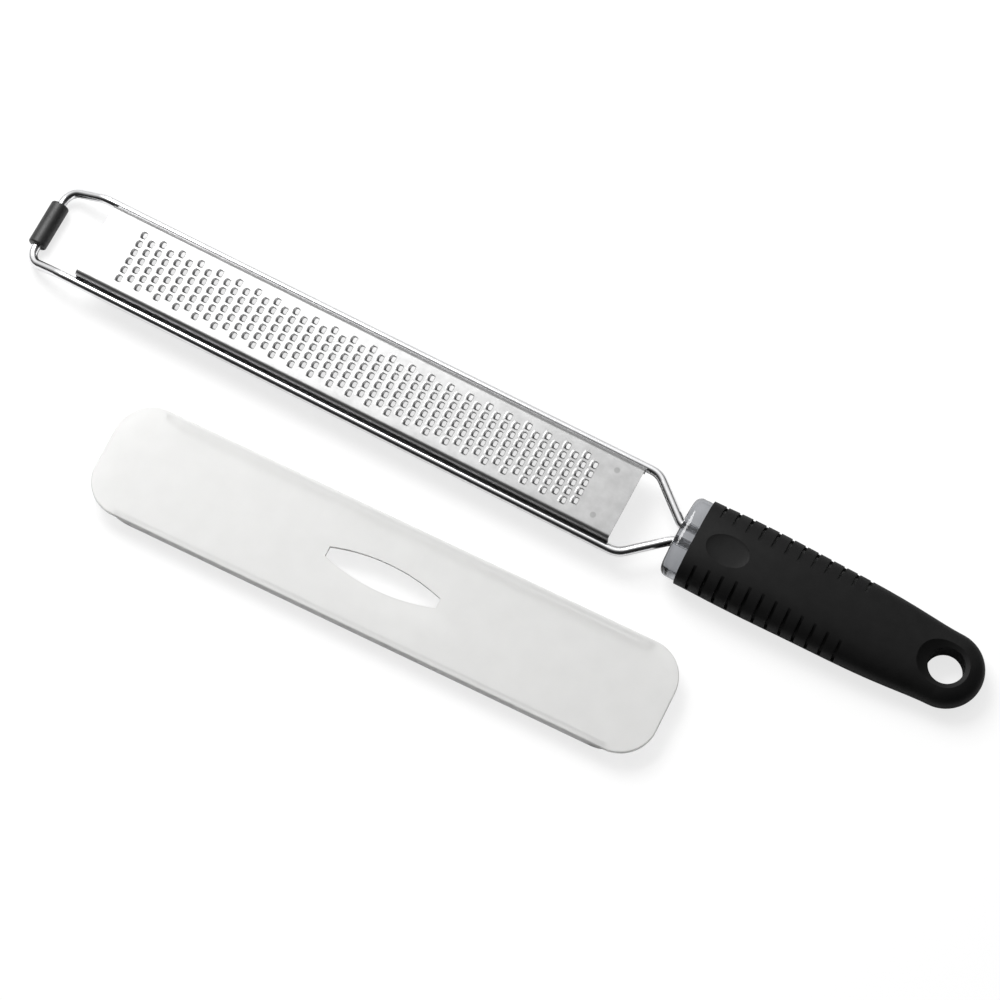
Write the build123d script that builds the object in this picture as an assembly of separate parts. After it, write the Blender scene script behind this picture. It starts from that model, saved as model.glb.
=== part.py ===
from build123d import *
import math
import os

# Rasp zester with its blade cover taken off and lying beside it. All lengths are in millimetres.
# X runs from the tip to the handle, Z is up, and the tool rests on its tip sleeve and its handle.
# Lengths along the tool are added up from the front of the tip sleeve.

# Wire frame: one round wire bent to a long loop
wire_diameter = 3.0
frame_outside_width = 31.8
frame_height = 9.0
loop_reach = 13.2
loop_outside_width = 29.4
loop_corner_radius = 5.0
kink_radius = 8.0
shoulder_bend_radius = 7.0
neck_bend_radius = 4.0
neck_spacing = 5.2
neck_reach = 13.6
wire_depth_in_handle = 34.0

# Tip sleeve: a rubber tube on the cross bar of the loop
sleeve_diameter = 6.1
sleeve_length = 15.5
sleeve_end_round = 0.7

# Grating blade: a sheet folded down along both wires
blade_length = 187.4
blade_setback = 4.9
blade_thickness = 0.6
blade_rise = 4.0
blade_shoulder_radius = 1.5
blade_weld_gap = 0.03
flange_depth_below_wire = 0.8
shoulder_to_bend = 4.15

# Teeth: columns of six and five in turn, each a hole with a lip hinged on its tip side
teeth_in_long_column = 6
tooth_pitch_along = 3.4
tooth_pitch_across = 3.23
first_tooth_setback = 13.0
least_tooth_margin_behind = 14.0
tooth_hole_length = 1.7
tooth_hole_width = 1.9
tooth_lip_length = 1.1
tooth_lip_rise = 0.75
tooth_lip_thickness = 0.4

# Handle core: clear plastic, a collar in front of the grip and a tongue inside it
collar_length = 5.7
collar_width = 27.2
collar_height = 13.6
collar_front_round = 2.6
bend_to_collar = 13.65
tongue_width = 17.0
tongue_height = 7.4
tongue_length = 68.0
tongue_edge_round = 1.8

# Handle grip: soft rubber, resting on its belly
grip_length = 85.6
grip_end_radius = 12.2
grip_roundness_share = 2.5
grip_palm_width = 29.3
grip_palm_height = 15.8
grip_hole_height = 11.4
# Each row is a place along the grip, then its width and height there against the palm's
grip_form_shares = (
    (0.00, 0.983, 0.980),
    (0.16, 1.000, 1.000),
    (0.35, 0.993, 0.975),
    (0.52, 0.975, 0.920),
    (0.70, 0.952, 0.845),
    (0.85, 0.895, 0.780),
)

# Grooves across both flanks of the grip
groove_count = 12
groove_pitch = 4.5
groove_width = 1.0
groove_depth = 1.0
first_groove_setback = 4.4
groove_start_at_ends = 8.6
groove_start_in_middle = 7.2
groove_floor_radius = 14.0

# Thumb dish and hanging hole of the grip
dish_setback = 10.9
dish_length = 14.5
dish_width = 10.4
dish_depth = 0.6
hole_radius = 5.75
hole_dish_radius = 8.5
hole_dish_depth = 2.2

# Blade cover: a push-on channel with rounded corners and a window
cover_length = 192.2
cover_plate_overhang = 0.7
cover_wall = 1.5
cover_side_clearance = 0.65
cover_height_clearance = 0.35
cover_bead_drop = 0.1
cover_bead_height = 0.6
cover_bead_reach = 0.9
cover_corner_radius = 12.0
cover_wall_corner_radius = 5.5
cover_edge_round = 0.4
window_length = 37.9
window_width = 9.4
window_end_width = 3.4
cover_aside = 54.2
cover_behind_blade_middle = 37.65
cover_turn_degrees = 1.5

# Places worked out from the sizes
wire_radius = wire_diameter / 2
sleeve_radius = sleeve_diameter / 2
crossbar_x = sleeve_radius
kink_x = crossbar_x + loop_reach
blade_front_x = kink_x + blade_setback
blade_back_x = blade_front_x + blade_length
bend_x = blade_back_x + shoulder_to_bend
neck_x = bend_x + neck_reach
collar_front_x = bend_x + bend_to_collar
grip_front_x = collar_front_x + collar_length
hole_x = grip_front_x + grip_length
overall_length = hole_x + grip_end_radius
wire_end_x = collar_front_x + wire_depth_in_handle
side_wire_y = frame_outside_width / 2 - wire_radius
loop_wire_y = loop_outside_width / 2 - wire_radius
neck_wire_y = neck_spacing / 2
blade_top_z = frame_height + blade_rise
blade_bottom_z = frame_height - flange_depth_below_wire
blade_outer_y = side_wire_y - wire_radius - blade_weld_gap
tooth_field_length = blade_length - first_tooth_setback - least_tooth_margin_behind
tooth_columns = 1 + int(tooth_field_length / tooth_pitch_along)
blade_middle_x = (blade_front_x + blade_back_x) / 2
grip_axis_z = grip_palm_height / 2
tooth_top_z = blade_top_z + tooth_lip_rise
cover_channel_width = frame_outside_width + 2 * (cover_side_clearance + cover_wall)
cover_width = cover_channel_width + 2 * cover_plate_overhang
wire_to_tooth_height = tooth_top_z - frame_height
cover_inner_height = cover_bead_height + cover_bead_drop + wire_to_tooth_height + cover_height_clearance
cover_height = cover_inner_height + cover_wall
cover_x = blade_middle_x + cover_behind_blade_middle
cover_y = -cover_aside


def rounded_extent_across(length: float, width: float, corner: float, degrees: float) -> float:
    """Half of what a turned rounded rectangle takes up across the tool."""
    turn = math.radians(degrees)
    return (length / 2 - corner) * math.sin(turn) + (width / 2 - corner) * math.cos(turn) + corner


# The origin is under the middle of the whole set, on the surface that it lies on
cover_reach_y = rounded_extent_across(cover_length, cover_width, cover_corner_radius, cover_turn_degrees)
origin_x = overall_length / 2
origin_y = (frame_outside_width / 2 + cover_y - cover_reach_y) / 2


def wire_path() -> Wire:
    """The centre line of the frame's wire, from one end in the handle round the loop to the other."""
    side = [
        (wire_end_x, neck_wire_y, frame_height),
        (neck_x, neck_wire_y, frame_height),
        (bend_x, side_wire_y, frame_height),
        (kink_x, side_wire_y, frame_height),
        (crossbar_x, loop_wire_y, sleeve_radius),
    ]
    other_side = [(x, -y, z) for x, y, z in reversed(side)]
    radii = [neck_bend_radius, shoulder_bend_radius, kink_radius, loop_corner_radius]
    return FilletPolyline(*(side + other_side), radius=radii + radii[::-1]).wire()


def make_wire_frame() -> Part:
    """The bent wire, swept round its centre line."""
    path = wire_path()
    return sweep(Plane(path ^ 0) * Circle(wire_radius), path=path)


def make_tip_sleeve(wire: Part) -> Part:
    """The rubber sleeve, with slightly rounded rims, bored by the wire that it sits on."""
    tube = Cylinder(sleeve_radius, sleeve_length, rotation=(90, 0, 0))
    rims = tube.edges().filter_by(GeomType.CIRCLE)
    tube = fillet(rims, sleeve_end_round)
    return Pos(crossbar_x, 0, sleeve_radius) * tube - wire


def tooth_places() -> list:
    """The middle of every tooth, column after column."""
    places = []
    for column in range(tooth_columns):
        count = teeth_in_long_column - column % 2
        x = blade_front_x + first_tooth_setback + column * tooth_pitch_along
        lowest_y = -(count - 1) / 2 * tooth_pitch_across
        places += [(x, lowest_y + row * tooth_pitch_across) for row in range(count)]
    return places


def blade_section() -> Sketch:
    """The blade's section: a channel, open below, with rounded shoulders."""
    height = blade_top_z - blade_bottom_z
    outer = Pos(0, -height) * Rectangle(2 * blade_outer_y, 2 * height)
    outer = fillet(outer.vertices().group_by(Axis.Y)[-1], blade_shoulder_radius)
    inner_half = blade_outer_y - blade_thickness
    inner = Pos(0, -height - blade_thickness) * Rectangle(2 * inner_half, 2 * height)
    inner = fillet(inner.vertices().group_by(Axis.Y)[-1], blade_shoulder_radius - blade_thickness)
    kept = Pos(0, -height / 2) * Rectangle(2 * blade_outer_y, height)
    return (outer - inner) & kept


def tooth_lip() -> Part:
    """One lip: a bent tab that starts on the tip side of its hole and rises over it."""
    root_x = -tooth_hole_length / 2
    tip_x = root_x + tooth_lip_length
    low_z = -blade_thickness / 2
    outline = Polyline(
        (root_x, low_z),
        (root_x, 0),
        (tip_x, tooth_lip_rise),
        (tip_x, tooth_lip_rise - tooth_lip_thickness),
        close=True,
    )
    face = Plane.XZ * make_face(outline)
    return Pos(0, tooth_hole_width / 2, 0) * extrude(face, tooth_hole_width)


def make_grating_blade() -> Part:
    """The folded sheet with its field of holes and raised lips."""
    at_front = Plane(origin=(blade_front_x, 0, blade_top_z), x_dir=(0, 1, 0), z_dir=(1, 0, 0))
    sheet = extrude(at_front * blade_section(), blade_length)
    hole = Box(tooth_hole_length, tooth_hole_width, 4 * blade_thickness)
    holes = [Pos(x, y, blade_top_z) * hole for x, y in tooth_places()]
    lip = tooth_lip()
    lips = [Pos(x, y, blade_top_z) * lip for x, y in tooth_places()]
    return (sheet - holes).fuse(*lips, glue=True)


def half_oval(half_width: float, half_height: float, middle_z: float) -> Edge:
    """Half of an oval from its top to its bottom, with the roundness of the grip."""
    steps = 8
    points = []
    for step in range(steps + 1):
        angle = math.pi / 2 * (1 - 2 * step / steps)
        across = max(math.cos(angle), 0.0) ** (2 / grip_roundness_share)
        up = math.copysign(abs(math.sin(angle)) ** (2 / grip_roundness_share), math.sin(angle))
        points.append((0, half_width * across, middle_z + half_height * up))
    return Spline(*points, tangents=((0, 1, 0), (0, -1, 0)))


def oval(x: float, width: float, height: float, middle_z: float) -> Face:
    """A whole oval across the tool at a place along it."""
    half = half_oval(width / 2, height / 2, middle_z)
    other = half.mirror(Plane.XZ)
    return Pos(x, 0, 0) * make_face([half, other])


def grip_stations() -> list:
    """Places along the grip, each with its width and height; the belly stays on the surface."""
    stations = [
        (grip_front_x + place * grip_length, width * grip_palm_width, height * grip_palm_height)
        for place, width, height in grip_form_shares
    ]
    return stations + [(hole_x, 2 * grip_end_radius, grip_hole_height)]


def make_grip_form() -> Part:
    """The grip's outer form: ovals joined from its front to the hole, then turned round the hole."""
    body = loft([oval(x, width, height, height / 2) for x, width, height in grip_stations()])
    half = half_oval(grip_end_radius, grip_hole_height / 2, grip_hole_height / 2)
    closing = Line(half @ 1, half @ 0)
    end = revolve(make_face([half, closing]), Axis.Z, revolution_arc=-180)
    return body + Pos(hole_x, 0, 0) * end


def grip_size_at(x: float) -> tuple:
    """The grip's width and height at a place along it, between its two nearest ovals."""
    stations = grip_stations()
    pairs = zip(stations, stations[1:])
    before, after = next((one, two) for one, two in pairs if x <= two[0])
    share = (x - before[0]) / (after[0] - before[0])
    return tuple(one + share * (two - one) for one, two in zip(before[1:], after[1:]))


def groove_floor_middle(flank: float, start: float, rise: float) -> tuple:
    """The middle of the circle, across the tool, that runs from a flank up to a groove's start."""
    chord = math.hypot(flank - start, rise)
    reach = math.sqrt(groove_floor_radius ** 2 - (chord / 2) ** 2) / chord
    return (flank + start) / 2 - reach * rise, rise / 2 - reach * (flank - start)


def make_grooves() -> list:
    """The grooves' cutters: slabs over the upper half of both flanks, each hollowed by a round floor.

    A floor meets the grip's surface where the groove starts, beside the middle of the top. At half
    the grip's height it lies a groove's depth inside the flank.
    """
    cutters = []
    middle = (groove_count - 1) / 2
    for number in range(groove_count):
        x = grip_front_x + first_groove_setback + number * groove_pitch
        width, height = grip_size_at(x)
        share = (number / middle - 1) ** 2
        start = groove_start_in_middle + share * (groove_start_at_ends - groove_start_in_middle)
        rise = height / 2 * (1 - (2 * start / width) ** grip_roundness_share) ** (1 / grip_roundness_share)
        floor_y, floor_z = groove_floor_middle(width / 2 - groove_depth, start, rise)
        slab = Box(groove_width, width, height, align=(Align.CENTER, Align.MIN, Align.MIN))
        floor = Cylinder(groove_floor_radius, 2 * groove_width, rotation=(0, 90, 0))
        cutter = slab - Pos(0, floor_y, floor_z) * floor
        for turn in (0, 180):
            cutters.append(Pos(x, 0, height / 2) * Rot(0, 0, turn) * cutter)
    return cutters


def hole_dish(surface_z: float, side: int) -> Part:
    """A shallow round dish about the hanging hole, open upwards (side 1) or downwards (side -1)."""
    ball_radius = (hole_dish_radius ** 2 + hole_dish_depth ** 2) / (2 * hole_dish_depth)
    return Pos(hole_x, 0, surface_z + side * (ball_radius - hole_dish_depth)) * Sphere(ball_radius)


def make_handle_grip(core: Part) -> Part:
    """The rubber grip, hollow for the tongue of the core, with its grooves, thumb dish and hole."""
    grip = make_grip_form() - make_grooves()
    dish = scale(Sphere(dish_length / 2), by=(1, dish_width / dish_length, 2 * dish_depth / dish_length))
    grip -= Pos(grip_front_x + dish_setback, 0, grip_palm_height) * dish
    grip -= Pos(hole_x, 0, grip_hole_height / 2) * Cylinder(hole_radius, 2 * grip_hole_height)
    grip -= hole_dish(grip_hole_height, 1)
    grip -= hole_dish(0, -1)
    return grip - core


def make_handle_core(wire: Part) -> Part:
    """The clear core: a collar with a rounded front, and a tongue that the grip is moulded over."""
    collar_end = oval(grip_front_x, collar_width, collar_height, grip_axis_z)
    collar = extrude(collar_end, collar_length, dir=(-1, 0, 0))
    rim = collar.faces().sort_by(Axis.X)[0].edges()
    collar = fillet(rim, collar_front_round)
    tongue = Pos(grip_front_x, 0, grip_axis_z) * Box(
        tongue_length, tongue_width, tongue_height, align=(Align.MIN, Align.CENTER, Align.CENTER)
    )
    tongue = fillet(tongue.edges().filter_by(Axis.X), tongue_edge_round)
    return collar + tongue - wire


def cover_window() -> Sketch:
    """The window's outline: two arcs that meet two short blunt ends."""
    end_x, end_y, middle_y = window_length / 2, window_end_width / 2, window_width / 2
    far_arc = ThreePointArc((-end_x, end_y), (0, middle_y), (end_x, end_y))
    near_arc = ThreePointArc((end_x, -end_y), (0, -middle_y), (-end_x, -end_y))
    ends = [Line(far_arc @ 1, near_arc @ 0), Line(near_arc @ 1, far_arc @ 0)]
    return make_face([far_arc, ends[0], near_arc, ends[1]])


def make_blade_cover() -> Part:
    """The cover: a rounded plate, two side walls along its straight sides and a bead along each.

    The beads are under the widest part of the wires when the cover is on.
    """
    outline = RectangleRounded(cover_length, cover_width, cover_corner_radius)
    plate = Pos(0, 0, cover_inner_height) * extrude(outline - cover_window(), cover_wall)
    plate = fillet(plate.faces().sort_by(Axis.Z)[-1].outer_wire().edges(), cover_edge_round)
    wall_length = cover_length - 2 * cover_corner_radius
    wall_y = (cover_channel_width - cover_wall) / 2
    bead_y = cover_channel_width / 2 - cover_wall - cover_bead_reach / 2
    bead_length = wall_length - 2 * cover_wall_corner_radius
    wall = Box(wall_length, cover_wall, cover_inner_height)
    foot_ends = wall.edges().filter_by(Axis.Y).group_by(Axis.Z)[0]
    wall = fillet(foot_ends, min(cover_wall_corner_radius, cover_inner_height - cover_edge_round))
    for side in (1, -1):
        bead = Pos(0, side * bead_y, cover_bead_height / 2) * Box(bead_length, cover_bead_reach, cover_bead_height)
        plate += [Pos(0, side * wall_y, cover_inner_height / 2) * wall, bead]
    return Pos(cover_x, cover_y, 0) * Rot(0, 0, cover_turn_degrees) * plate


def make_parts() -> dict:
    """Every piece under its node's name, in the frame of the whole set."""
    wire = make_wire_frame()
    core = make_handle_core(wire)
    pieces = {
        "wire_frame": wire,
        "grating_blade": make_grating_blade(),
        "tip_sleeve": make_tip_sleeve(wire),
        "handle_core": core,
        "handle_grip": make_handle_grip(core + wire),
        "blade_cover": make_blade_cover(),
    }
    return {name: Pos(-origin_x, -origin_y, 0) * piece for name, piece in pieces.items()}


os.makedirs("parts", exist_ok=True)
for node, piece in make_parts().items():
    export_step(piece, f"parts/{node}.step")
    print(node, len(piece.solids()), "solid", round(piece.volume, 1), "mm3")
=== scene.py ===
"""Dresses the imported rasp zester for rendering: finishes, detailed meshes, light and camera."""

import logging
import math
from dataclasses import dataclass
from enum import Enum

import bpy
import numpy as np
from mathutils import Matrix, Vector

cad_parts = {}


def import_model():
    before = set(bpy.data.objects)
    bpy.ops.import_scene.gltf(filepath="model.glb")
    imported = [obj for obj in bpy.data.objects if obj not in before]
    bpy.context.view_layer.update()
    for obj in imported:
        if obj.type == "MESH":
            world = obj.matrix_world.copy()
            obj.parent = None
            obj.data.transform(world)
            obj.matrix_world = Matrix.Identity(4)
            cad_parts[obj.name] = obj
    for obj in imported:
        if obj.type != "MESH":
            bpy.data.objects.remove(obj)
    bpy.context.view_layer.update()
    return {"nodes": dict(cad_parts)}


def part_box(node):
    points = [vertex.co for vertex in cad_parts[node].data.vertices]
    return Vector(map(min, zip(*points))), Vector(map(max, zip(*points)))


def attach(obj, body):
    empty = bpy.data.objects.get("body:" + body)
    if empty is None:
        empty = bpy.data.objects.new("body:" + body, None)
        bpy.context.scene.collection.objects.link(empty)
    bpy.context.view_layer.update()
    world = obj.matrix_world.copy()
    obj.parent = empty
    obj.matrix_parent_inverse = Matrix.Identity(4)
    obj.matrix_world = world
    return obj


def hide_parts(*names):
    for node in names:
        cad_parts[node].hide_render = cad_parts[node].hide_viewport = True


LOG = logging.getLogger("rasp_zester")
MM = 0.001
# Noise seldom leaves this range
NOISE_RANGE = (0.3, 0.7)


class Body(Enum):
    """The two bodies of the set."""

    ZESTER = "zester"
    COVER = "cover"


class Slot(Enum):
    """The record's material slots."""

    WIRE = "polished_wire"
    SHEET = "etched_sheet"
    TIP = "tip_rubber"
    CLEAR = "clear_plastic"
    GRIP = "soft_grip"
    MILKY = "milky_plastic"


class NodeTree:
    """A short way to write a material's or the world's nodes."""

    def __init__(self, owner: bpy.types.ID) -> None:
        """Empties the owner's node tree."""
        owner.use_nodes = True
        self.tree = owner.node_tree
        self.tree.nodes.clear()

    def add(self, kind: str, **settings: object) -> bpy.types.Node:
        """Adds a node.

        Args:
            kind: the node's type name.
            settings: attributes of the node, set as given.

        Returns:
            The new node.
        """
        node = self.tree.nodes.new(kind)
        for name, value in settings.items():
            setattr(node, name, value)
        return node

    def link(self, source: bpy.types.NodeSocket, target: bpy.types.NodeSocket) -> None:
        """Joins two sockets."""
        self.tree.links.new(source, target)

    def noise(self, scale: float, stretch: tuple[float, float, float], detail: float) -> bpy.types.NodeSocket:
        """Adds noise on Object coordinates.

        Args:
            scale: the noise's scale, in features per metre.
            stretch: how much finer the noise is along each axis.
            detail: the number of finer layers.

        Returns:
            The noise's factor socket.
        """
        coordinates = self.add("ShaderNodeTexCoord")
        mapping = self.add("ShaderNodeMapping")
        mapping.inputs["Scale"].default_value = stretch
        noise = self.add("ShaderNodeTexNoise")
        noise.inputs["Scale"].default_value = scale
        noise.inputs["Detail"].default_value = detail
        self.link(coordinates.outputs["Object"], mapping.inputs["Vector"])
        self.link(mapping.outputs["Vector"], noise.inputs["Vector"])
        return noise.outputs["Fac"]

    def spread(self, factor: bpy.types.NodeSocket, low: float, high: float) -> bpy.types.NodeSocket:
        """Maps a factor's middle range to a range of values.

        Args:
            factor: a noise's socket.
            low: the value at the low end.
            high: the value at the high end.

        Returns:
            The mapped value's socket.
        """
        node = self.add("ShaderNodeMapRange")
        node.inputs["From Min"].default_value = NOISE_RANGE[0]
        node.inputs["From Max"].default_value = NOISE_RANGE[1]
        node.inputs["To Min"].default_value = low
        node.inputs["To Max"].default_value = high
        self.link(factor, node.inputs["Value"])
        return node.outputs["Result"]

    def blend_colours(
        self, factor: bpy.types.NodeSocket, low: tuple[float, ...], high: tuple[float, ...]
    ) -> bpy.types.NodeSocket:
        """Mixes two colours by a factor.

        Args:
            factor: a noise's socket.
            low: the colour at the low end.
            high: the colour at the high end.

        Returns:
            The colour's socket.
        """
        ramp = self.add("ShaderNodeValToRGB")
        for element, position, colour in zip(ramp.color_ramp.elements, NOISE_RANGE, (low, high)):
            element.position = position
            element.color = (*colour, 1.0)
        self.link(factor, ramp.inputs["Fac"])
        return ramp.outputs["Color"]

    def dimmed(self, colour: bpy.types.NodeSocket, marks: "Marks") -> bpy.types.NodeSocket:
        """Darkens a colour in small round marks of painted shade.

        Args:
            colour: the colour's socket.
            marks: the marks.

        Returns:
            The darkened colour's socket.
        """
        coordinates = self.add("ShaderNodeTexCoord")
        for place in marks.middles:
            distance = self.add("ShaderNodeVectorMath", operation="DISTANCE")
            distance.inputs[1].default_value = place
            shade = self.add("ShaderNodeMapRange")
            shade.inputs["From Min"].default_value = marks.inner_radius
            shade.inputs["From Max"].default_value = marks.outer_radius
            shade.inputs["To Min"].default_value = marks.shade
            darker = self.add("ShaderNodeVectorMath", operation="SCALE")
            self.link(coordinates.outputs["Object"], distance.inputs[0])
            self.link(distance.outputs["Value"], shade.inputs["Value"])
            self.link(colour, darker.inputs[0])
            self.link(shade.outputs["Result"], darker.inputs["Scale"])
            colour = darker.outputs["Vector"]
        return colour

    def bump(self, height: bpy.types.NodeSocket, depth: float) -> bpy.types.NodeSocket:
        """Turns a height into a bump.

        Args:
            height: the height's socket.
            depth: the bump's depth in metres.

        Returns:
            The normal's socket.
        """
        node = self.add("ShaderNodeBump")
        node.inputs["Distance"].default_value = depth
        self.link(height, node.inputs["Height"])
        return node.outputs["Normal"]


@dataclass(frozen=True)
class Marks:
    """Small round marks of painted shade in a finish, fully dark up to the inner radius and gone at the outer
    one.
    """

    middles: tuple[tuple[float, float, float], ...] = ()
    inner_radius: float = 0.8 * MM
    outer_radius: float = 1.1 * MM
    shade: float = 0.75


@dataclass(frozen=True)
class Finish:
    """A finish: what a surface's shader is given, with a fine grain in gloss and height and faint clouds."""

    slot: Slot
    dark: tuple[float, float, float]
    light: tuple[float, float, float]
    smooth: float
    rough: float
    grain: float
    stretch: tuple[float, float, float]
    depth: float
    metallic: float = 0.0
    transmission: float = 0.0
    index: float = 1.5
    specular: float = 0.5
    grain_detail: float = 3.0
    cloud_detail: float = 2.0
    grain_per_cloud: float = 12.0

    def material(self, marks: Marks = Marks()) -> bpy.types.Material:
        """Builds the material, named after its slot.

        Args:
            marks: small darker marks of painted shade, in the frame.

        Returns:
            The new material.
        """
        made = bpy.data.materials.new(self.slot.value)
        nodes = NodeTree(made)
        shader = nodes.add("ShaderNodeBsdfPrincipled")
        output = nodes.add("ShaderNodeOutputMaterial")
        grain = nodes.noise(self.grain, self.stretch, self.grain_detail)
        cloud = nodes.noise(self.grain / self.grain_per_cloud, (1.0, 1.0, 1.0), self.cloud_detail)
        colour = nodes.blend_colours(cloud, self.dark, self.light)
        nodes.link(nodes.dimmed(colour, marks), shader.inputs["Base Color"])
        nodes.link(nodes.spread(grain, self.smooth, self.rough), shader.inputs["Roughness"])
        nodes.link(nodes.bump(grain, self.depth), shader.inputs["Normal"])
        shader.inputs["Metallic"].default_value = self.metallic
        shader.inputs["Transmission Weight"].default_value = self.transmission
        shader.inputs["IOR"].default_value = self.index
        shader.inputs["Specular IOR Level"].default_value = self.specular
        nodes.link(shader.outputs["BSDF"], output.inputs["Surface"])
        return made


POLISHED_WIRE = Finish(
    Slot.WIRE, (0.74, 0.74, 0.75), (0.82, 0.82, 0.83), 0.12, 0.18, 900.0, (0.05, 1.0, 1.0), 0.000004,
    metallic=1.0,
)
ETCHED_SHEET = Finish(
    Slot.SHEET, (0.26, 0.26, 0.26), (0.30, 0.30, 0.30), 0.38, 0.46, 4000.0, (0.3, 1.0, 1.0), 0.000003,
    metallic=1.0,
)
TIP_RUBBER = Finish(
    Slot.TIP, (0.010, 0.010, 0.010), (0.016, 0.016, 0.016), 0.42, 0.55, 2500.0, (1.0, 1.0, 1.0), 0.00001,
)
SOFT_GRIP = Finish(
    Slot.GRIP, (0.004, 0.004, 0.004), (0.006, 0.006, 0.006), 0.50, 0.62, 3000.0, (1.0, 1.0, 1.0), 0.00001,
    specular=0.15,
)
CLEAR_PLASTIC = Finish(
    Slot.CLEAR, (0.30, 0.31, 0.33), (0.42, 0.43, 0.45), 0.04, 0.09, 400.0, (1.0, 1.0, 1.0), 0.000004,
    transmission=1.0, index=1.49,
)
MILKY_PLASTIC = Finish(
    Slot.MILKY, (0.83, 0.83, 0.82), (0.86, 0.86, 0.85), 0.38, 0.46, 1500.0, (1.0, 1.0, 1.0), 0.000004,
    transmission=0.45,
)


@dataclass
class Studio:
    """The floor, the lamp and the surroundings."""

    floor_half: float = 3.0
    floor_colour: tuple[float, float, float] = (0.92, 0.92, 0.92)
    floor_white_share: float = 0.7
    floor_white: float = 1.08
    sky_strength: float = 1.15
    darkest: float = 0.02
    bright_side: tuple[float, float, float] = (-0.45, 0.55, 0.70)
    bright_stops: tuple[tuple[float, float], ...] = ((0.35, 0.02), (0.60, 0.20), (0.75, 0.55), (0.87, 0.95))
    lamp_place: tuple[float, float, float] = (-0.45, 0.35, 0.70)
    lamp_size: float = 0.5
    lamp_power: float = 8.0

    def floor(self) -> bpy.types.Object:
        """Builds the pale floor, which looks white to the camera and keeps a soft shadow.

        Returns:
            The floor's object.
        """
        half = self.floor_half
        mesh = bpy.data.meshes.new("floor")
        corners = [(-half, -half, 0), (half, -half, 0), (half, half, 0), (-half, half, 0)]
        mesh.from_pydata(corners, [], [(0, 1, 2, 3)])
        made = bpy.data.materials.new("floor")
        nodes = NodeTree(made)
        diffuse = nodes.add("ShaderNodeBsdfDiffuse")
        diffuse.inputs["Color"].default_value = (*self.floor_colour, 1.0)
        glow = nodes.add("ShaderNodeEmission")
        path = nodes.add("ShaderNodeLightPath")
        seen = nodes.add("ShaderNodeMath", operation="MAXIMUM")
        share = nodes.add("ShaderNodeMath", operation="MULTIPLY")
        share.inputs[1].default_value = self.floor_white_share
        mix = nodes.add("ShaderNodeMixShader")
        output = nodes.add("ShaderNodeOutputMaterial")
        glow.inputs["Strength"].default_value = self.floor_white
        for number, ray in enumerate(("Is Camera Ray", "Is Transmission Ray")):
            nodes.link(path.outputs[ray], seen.inputs[number])
        nodes.link(seen.outputs[0], share.inputs[0])
        nodes.link(share.outputs[0], mix.inputs[0])
        nodes.link(diffuse.outputs[0], mix.inputs[1])
        nodes.link(glow.outputs[0], mix.inputs[2])
        nodes.link(mix.outputs[0], output.inputs["Surface"])
        mesh.materials.append(made)
        floor = bpy.data.objects.new("floor", mesh)
        bpy.context.scene.collection.objects.link(floor)
        return floor

    def sky(self) -> None:
        """Makes the surroundings: bright over the far side, dark over the near side, white to the camera."""
        world = bpy.data.worlds.new("studio")
        bpy.context.scene.world = world
        nodes = NodeTree(world)
        coordinates = nodes.add("ShaderNodeTexCoord")
        facing = nodes.add("ShaderNodeVectorMath", operation="DOT_PRODUCT")
        facing.inputs[1].default_value = self.bright_side
        ramp = nodes.add("ShaderNodeValToRGB")
        stops = ramp.color_ramp.elements
        stops[0].color = (self.darkest, self.darkest, self.darkest, 1)
        stops[1].color = (1, 1, 1, 1)
        for position, value in self.bright_stops:
            stops.new(position).color = (value, value, value, 1)
        around = nodes.add("ShaderNodeBackground")
        around.inputs["Strength"].default_value = self.sky_strength
        white = nodes.add("ShaderNodeBackground")
        path = nodes.add("ShaderNodeLightPath")
        mix = nodes.add("ShaderNodeMixShader")
        output = nodes.add("ShaderNodeOutputWorld")
        nodes.link(coordinates.outputs["Generated"], facing.inputs[0])
        nodes.link(facing.outputs["Value"], ramp.inputs["Fac"])
        nodes.link(ramp.outputs["Color"], around.inputs["Color"])
        nodes.link(path.outputs["Is Camera Ray"], mix.inputs[0])
        nodes.link(around.outputs[0], mix.inputs[1])
        nodes.link(white.outputs[0], mix.inputs[2])
        nodes.link(mix.outputs[0], output.inputs["Surface"])

    def lamp(self, name: str, place: tuple, aim: tuple, size: float, power: float) -> bpy.types.Object:
        """Hangs one soft square lamp.

        Args:
            name: the lamp's name.
            place: where it hangs, in metres.
            aim: the point that it faces.
            size: its side in metres.
            power: its power in watts.

        Returns:
            The lamp's object.
        """
        data = bpy.data.lights.new(name, "AREA")
        data.size = size
        data.energy = power
        lamp = bpy.data.objects.new(name, data)
        lamp.location = place
        lamp.rotation_euler = (Vector(aim) - Vector(place)).to_track_quat("-Z", "Y").to_euler()
        bpy.context.scene.collection.objects.link(lamp)
        return lamp

    def build(self) -> None:
        """Sets up the whole studio."""
        self.floor()
        self.sky()
        self.lamp("key_lamp", self.lamp_place, (0.0, 0.0, 0.0), self.lamp_size, self.lamp_power)
        bpy.context.scene.view_settings.view_transform = "Standard"
        LOG.info("studio: floor, surroundings and lamps")


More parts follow.
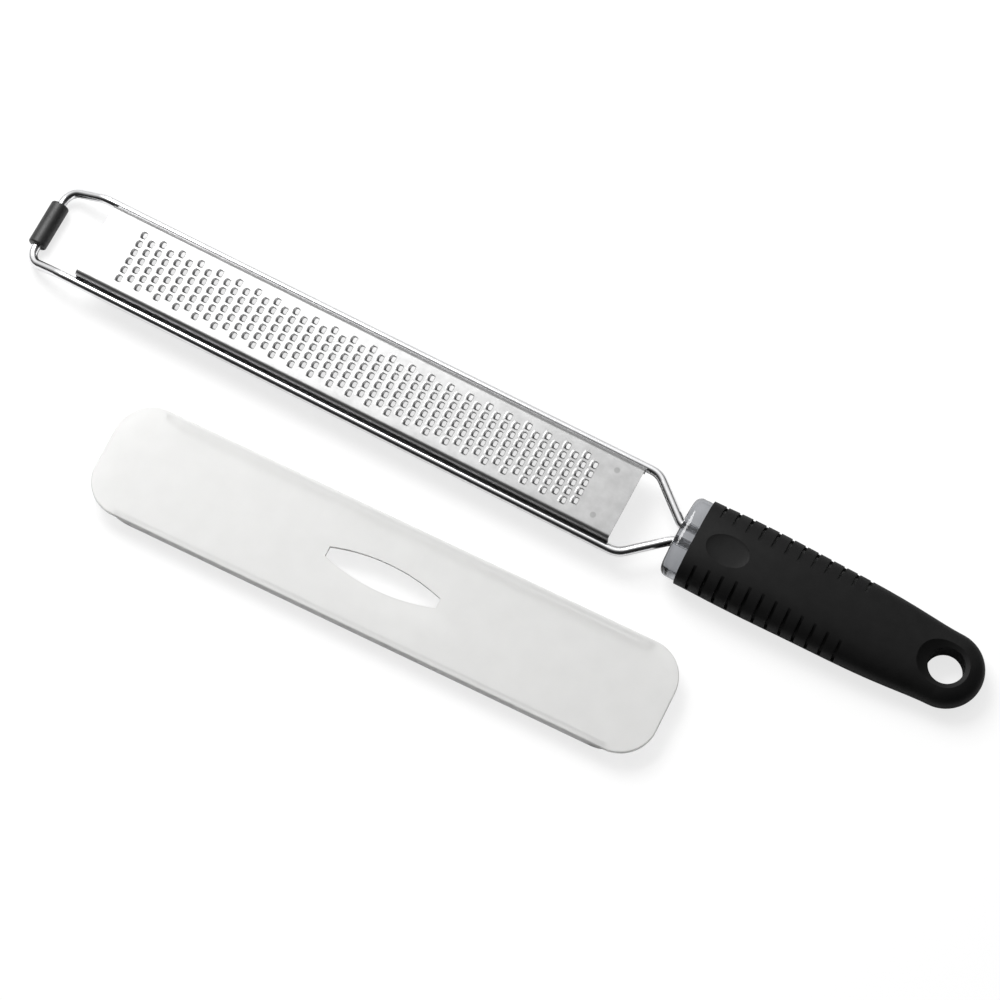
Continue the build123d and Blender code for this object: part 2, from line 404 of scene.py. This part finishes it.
@dataclass
class PhotographView:
    """The camera at the photograph's viewing angle."""

    azimuth: float = -28.588
    elevation: float = 72.178
    roll: float = -0.828
    focal_length: float = 140.04
    sensor: float = 36.0
    distance: float = 1.20651
    target: tuple[float, float, float] = (0.00673, 0.01615, 0.0)

    def build(self) -> bpy.types.Object:
        """Places the camera on the line of sight through its target.

        Returns:
            The camera's object.
        """
        turn, tilt, roll = (math.radians(a) for a in (self.azimuth, self.elevation, self.roll))
        flat = math.cos(tilt)
        sight = Vector((math.sin(turn) * flat, math.cos(turn) * flat, -math.sin(tilt)))
        level = sight.cross(Vector((0, 0, 1))).normalized()
        upright = level.cross(sight)
        right = math.cos(roll) * level + math.sin(roll) * upright
        up = -math.sin(roll) * level + math.cos(roll) * upright
        data = bpy.data.cameras.new("camera")
        data.lens = self.focal_length
        data.sensor_width = self.sensor
        data.clip_start = 0.01
        camera = bpy.data.objects.new("camera", data)
        place = Vector(self.target) - sight * self.distance
        turned = Matrix((right, up, -sight)).transposed().to_4x4()
        camera.matrix_world = Matrix.Translation(place) @ turned
        bpy.context.scene.collection.objects.link(camera)
        bpy.context.scene.camera = camera
        LOG.info("camera: %.1f mm at %.3f m", self.focal_length, self.distance)
        return camera


class SurfaceMesh:
    """Several grids of points, joined into one mesh."""

    def __init__(self) -> None:
        """Starts with no grid."""
        self.points: list[np.ndarray] = []
        self.quads: list[np.ndarray] = []
        self.count = 0

    def add(self, grids: np.ndarray, closed: bool = False) -> None:
        """Adds grids that face along the cross product of their rows' and their columns' directions.

        Args:
            grids: points in an array of copies, rows, columns and coordinates.
            closed: whether each row's last point joins its first.
        """
        copies, rows, columns, _ = grids.shape
        here = self.count + np.arange(copies * rows * columns).reshape(copies, rows, columns)
        beside = np.roll(here, -1, axis=2)
        if not closed:
            here, beside = here[..., :-1], beside[..., :-1]
        quads = np.stack([here[:, :-1], here[:, 1:], beside[:, 1:], beside[:, :-1]], axis=-1)
        self.points.append(grids.reshape(-1, 3))
        self.quads.append(quads.reshape(-1, 4))
        self.count += copies * rows * columns

    def build(self, name: str, origin: np.ndarray, sharp_degrees: float) -> bpy.types.Object:
        """Makes the object, smooth but for its sharp edges.

        Args:
            name: the object's name.
            origin: where the grids' own origin lies, in the frame.
            sharp_degrees: the angle between faces above which an edge stays sharp.

        Returns:
            The new object.
        """
        mesh = bpy.data.meshes.new(name)
        points = np.concatenate(self.points) + origin
        mesh.from_pydata(points.tolist(), [], np.concatenate(self.quads).tolist())
        mesh.shade_smooth()
        mesh.set_sharp_from_angle(angle=math.radians(sharp_degrees))
        made = bpy.data.objects.new(name, mesh)
        bpy.context.scene.collection.objects.link(made)
        return made


def grid(*axes: object) -> np.ndarray:
    """Stacks coordinates that broadcast to copies, rows and columns into one array of points."""
    return np.stack(np.broadcast_arrays(*axes), axis=-1)


def smooth_step(values: np.ndarray) -> np.ndarray:
    """Eases values from 0 to 1, flat at both ends."""
    held = np.clip(values, 0.0, 1.0)
    return held * held * (3 - 2 * held)


@dataclass
class GratingBlade:
    """The etched sheet: a channel whose top carries columns of scooped teeth, each over its own hole.

    Its own origin is at the middle of the front edge of the top.
    """

    columns: int = 48
    long_column: int = 6
    pitch_along: float = 3.4 * MM
    pitch_across: float = 3.23 * MM
    first_setback: float = 13.0 * MM
    thickness: float = 0.6 * MM
    depth: float = 4.8 * MM
    shoulder_radius: float = 1.5 * MM
    hole_ahead: float = 0.50 * MM
    hole_half_length: float = 0.58 * MM
    hole_half_width: float = 1.0 * MM
    hole_roundness: float = 4.0
    scoop_start: float = -1.25 * MM
    scoop_crest: float = 0.1 * MM
    scoop_end: float = 1.2 * MM
    scoop_half_width: float = 1.3 * MM
    scoop_rise: float = 0.75 * MM
    scoop_side_power: float = 1.5
    # Where the four round dots of painted shade lie, near the sheet's corners.
    shade_dot_from_ends: float = 7.5 * MM
    shade_dot_aside: float = 8.1 * MM
    points_per_side: int = 6
    shoulder_points: int = 12
    sharp_degrees: float = 40.0
    ring_shares_below: tuple[float, ...] = (1.0, 0.36, 0.0)
    ring_shares_above: tuple[float, ...] = (0.0, 0.1, 0.22, 0.36, 0.52, 0.7, 0.85, 1.0)

    def scoop(self, x: np.ndarray, y: np.ndarray) -> np.ndarray:
        """How high the sheet rises at a place beside a tooth's middle.

        Args:
            x: how far the place lies towards the handle.
            y: how far it lies across.

        Returns:
            The heights above the flat sheet.
        """
        rising = smooth_step((x - self.scoop_start) / (self.scoop_crest - self.scoop_start))
        falling = smooth_step((self.scoop_end - x) / (self.scoop_end - self.scoop_crest))
        across = np.clip(1 - (y / self.scoop_half_width) ** 2, 0.0, 1.0) ** self.scoop_side_power
        return self.scoop_rise * np.minimum(rising, falling) * across

    def tooth(self) -> np.ndarray:
        """One tooth with the sheet of its cell, from its edge below, through the hole, to its edge above.

        Returns:
            A closed grid of rows and columns round the hole.
        """
        side = np.linspace(-1, 1, self.points_per_side, endpoint=False)
        one = np.ones_like(side)
        across = np.concatenate([side, one, -side, -one])
        along = np.concatenate([one, -side, -one, side])
        power = self.hole_roundness
        reach = (np.abs(along) ** power + np.abs(across) ** power) ** (1 / power)
        rim_x = self.hole_ahead + self.hole_half_length * along / reach
        rim_y = self.hole_half_width * across / reach
        shares = np.array(self.ring_shares_below + self.ring_shares_above)[:, None]
        below = (np.arange(len(shares)) < len(self.ring_shares_below))[:, None]
        x = rim_x + shares * (along * self.pitch_along / 2 - rim_x)
        y = rim_y + shares * (across * self.pitch_across / 2 - rim_y)
        return grid(x, y, self.scoop(x, y) - below * self.thickness)

    def plates(self, mesh: SurfaceMesh, x0: np.ndarray, x1: np.ndarray, y0: float, y1: float) -> None:
        """Adds flat stretches of sheet, above and below.

        Args:
            mesh: what they are added to.
            x0: where each stretch starts.
            x1: where each ends.
            y0: their lower side across.
            y1: their upper side across.
        """
        x = np.stack([x0, x1], axis=1)[:, :, None]
        y = np.array([y0, y1])[None, None, :]
        mesh.add(grid(x, y, np.zeros(1)))
        mesh.add(grid(x, y, np.full(1, -self.thickness)).swapaxes(1, 2))

    def flank(self, half_width: float, inner_y: float) -> tuple[np.ndarray, np.ndarray]:
        """The outer and inner lines of one folded side, from the flat top down to the flange's edge.

        Args:
            half_width: the sheet's half width.
            inner_y: where the side begins, across.

        Returns:
            The two lines, as rows of distances across and heights.
        """
        turn = np.linspace(0, math.pi / 2, self.shoulder_points)
        middle_y = half_width - self.shoulder_radius
        lines = []
        for inset in (0.0, self.thickness):
            radius = self.shoulder_radius - inset
            arc_y = middle_y + radius * np.sin(turn)
            arc_z = radius * np.cos(turn) - self.shoulder_radius
            y = np.concatenate([[inner_y], arc_y, [half_width - inset]])
            z = np.concatenate([[-inset], arc_z, [-self.depth]])
            lines.append(np.stack([y, z], axis=1))
        return lines[0], lines[1]

    def build(self) -> bpy.types.Object:
        """Builds the sheet in place of its plain solid.

        Returns:
            The sheet's object.
        """
        low, high = (np.array(corner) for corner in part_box("grating_blade"))
        length, half_width = high[0] - low[0], (high[1] - low[1]) / 2
        origin = np.array([low[0], (low[1] + high[1]) / 2, low[2] + self.depth])
        field_half = self.long_column * self.pitch_across / 2
        field_start = self.first_setback - self.pitch_along / 2
        field_end = field_start + self.columns * self.pitch_along
        mesh = SurfaceMesh()
        outer, inner = self.flank(half_width, field_half)
        loop = np.concatenate([outer, inner[::-1]])
        ends = np.array([0.0, length])
        side = grid(ends[:, None], loop[None, :, 0], loop[None, :, 1])[None]
        caps = [
            grid(place, *np.moveaxis(np.stack(pair), 2, 0))[None]
            for place, pair in ((0.0, (inner, outer)), (length, (outer, inner)))
        ]
        for piece in (side, *caps):
            other = piece[:, :, ::-1] * np.array([1, -1, 1])
            mesh.add(piece, closed=piece is side)
            mesh.add(other, closed=piece is side)
        starts, stops = np.array([0.0, field_end]), np.array([field_start, length])
        self.plates(mesh, starts, stops, -field_half, field_half)
        across, up = np.array([-field_half, field_half]), np.array([-self.thickness, 0.0])
        mesh.add(grid(0.0, across[None, :], up[:, None])[None])
        mesh.add(grid(length, across[:, None], up[None, :])[None])
        starts = field_start + self.pitch_along * np.arange(1, self.columns, 2)
        for y0 in (-field_half, field_half - self.pitch_across / 2):
            self.plates(mesh, starts, starts + self.pitch_along, y0, y0 + self.pitch_across / 2)
        places = np.concatenate([self.column(number) for number in range(self.columns)])
        mesh.add(places[:, None, None, :] + self.tooth()[None], closed=True)
        sheet = mesh.build("grating_sheet", origin, self.sharp_degrees)
        # Four round dots of painted shade near the corners, darkening the sheet's colour.
        painted_shade_dots = tuple(
            tuple(origin + (x, side * self.shade_dot_aside, 0.0))
            for x in (self.shade_dot_from_ends, length - self.shade_dot_from_ends)
            for side in (1, -1)
        )
        sheet.data.materials.append(ETCHED_SHEET.material(Marks(painted_shade_dots)))
        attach(sheet, Body.ZESTER.value)
        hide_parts("grating_blade")
        LOG.info("grating_sheet: %d teeth", len(places))
        return sheet

    def column(self, number: int) -> np.ndarray:
        """The middles of one column's teeth.

        Args:
            number: the column's number, counted from the tip.

        Returns:
            An array of places.
        """
        count = self.long_column - number % 2
        across = (np.arange(count) - (count - 1) / 2) * self.pitch_across
        along = self.first_setback + number * self.pitch_along
        return grid(along, across, 0.0)


def dress(node: bpy.types.Object, finish: Finish) -> None:
    """Gives a piece one finish.

    Args:
        node: the piece.
        finish: the finish.
    """
    node.data.materials.clear()
    node.data.materials.append(finish.material())
    LOG.info("%s: %s", node.name, finish.slot.value)


def main() -> None:
    """Loads the frame, sets up the studio and camera, dresses the pieces and builds the grating sheet."""
    logging.basicConfig(level=logging.INFO, format="%(name)s: %(message)s")
    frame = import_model()
    nodes = frame["nodes"]
    Studio().build()
    PhotographView().build()
    for name, finish in (
        ("wire_frame", POLISHED_WIRE),
        ("tip_sleeve", TIP_RUBBER),
        ("handle_core", CLEAR_PLASTIC),
        ("handle_grip", SOFT_GRIP),
        ("blade_cover", MILKY_PLASTIC),
    ):
        dress(nodes[name], finish)
    GratingBlade().build()


if __name__ == "__main__":
    main()
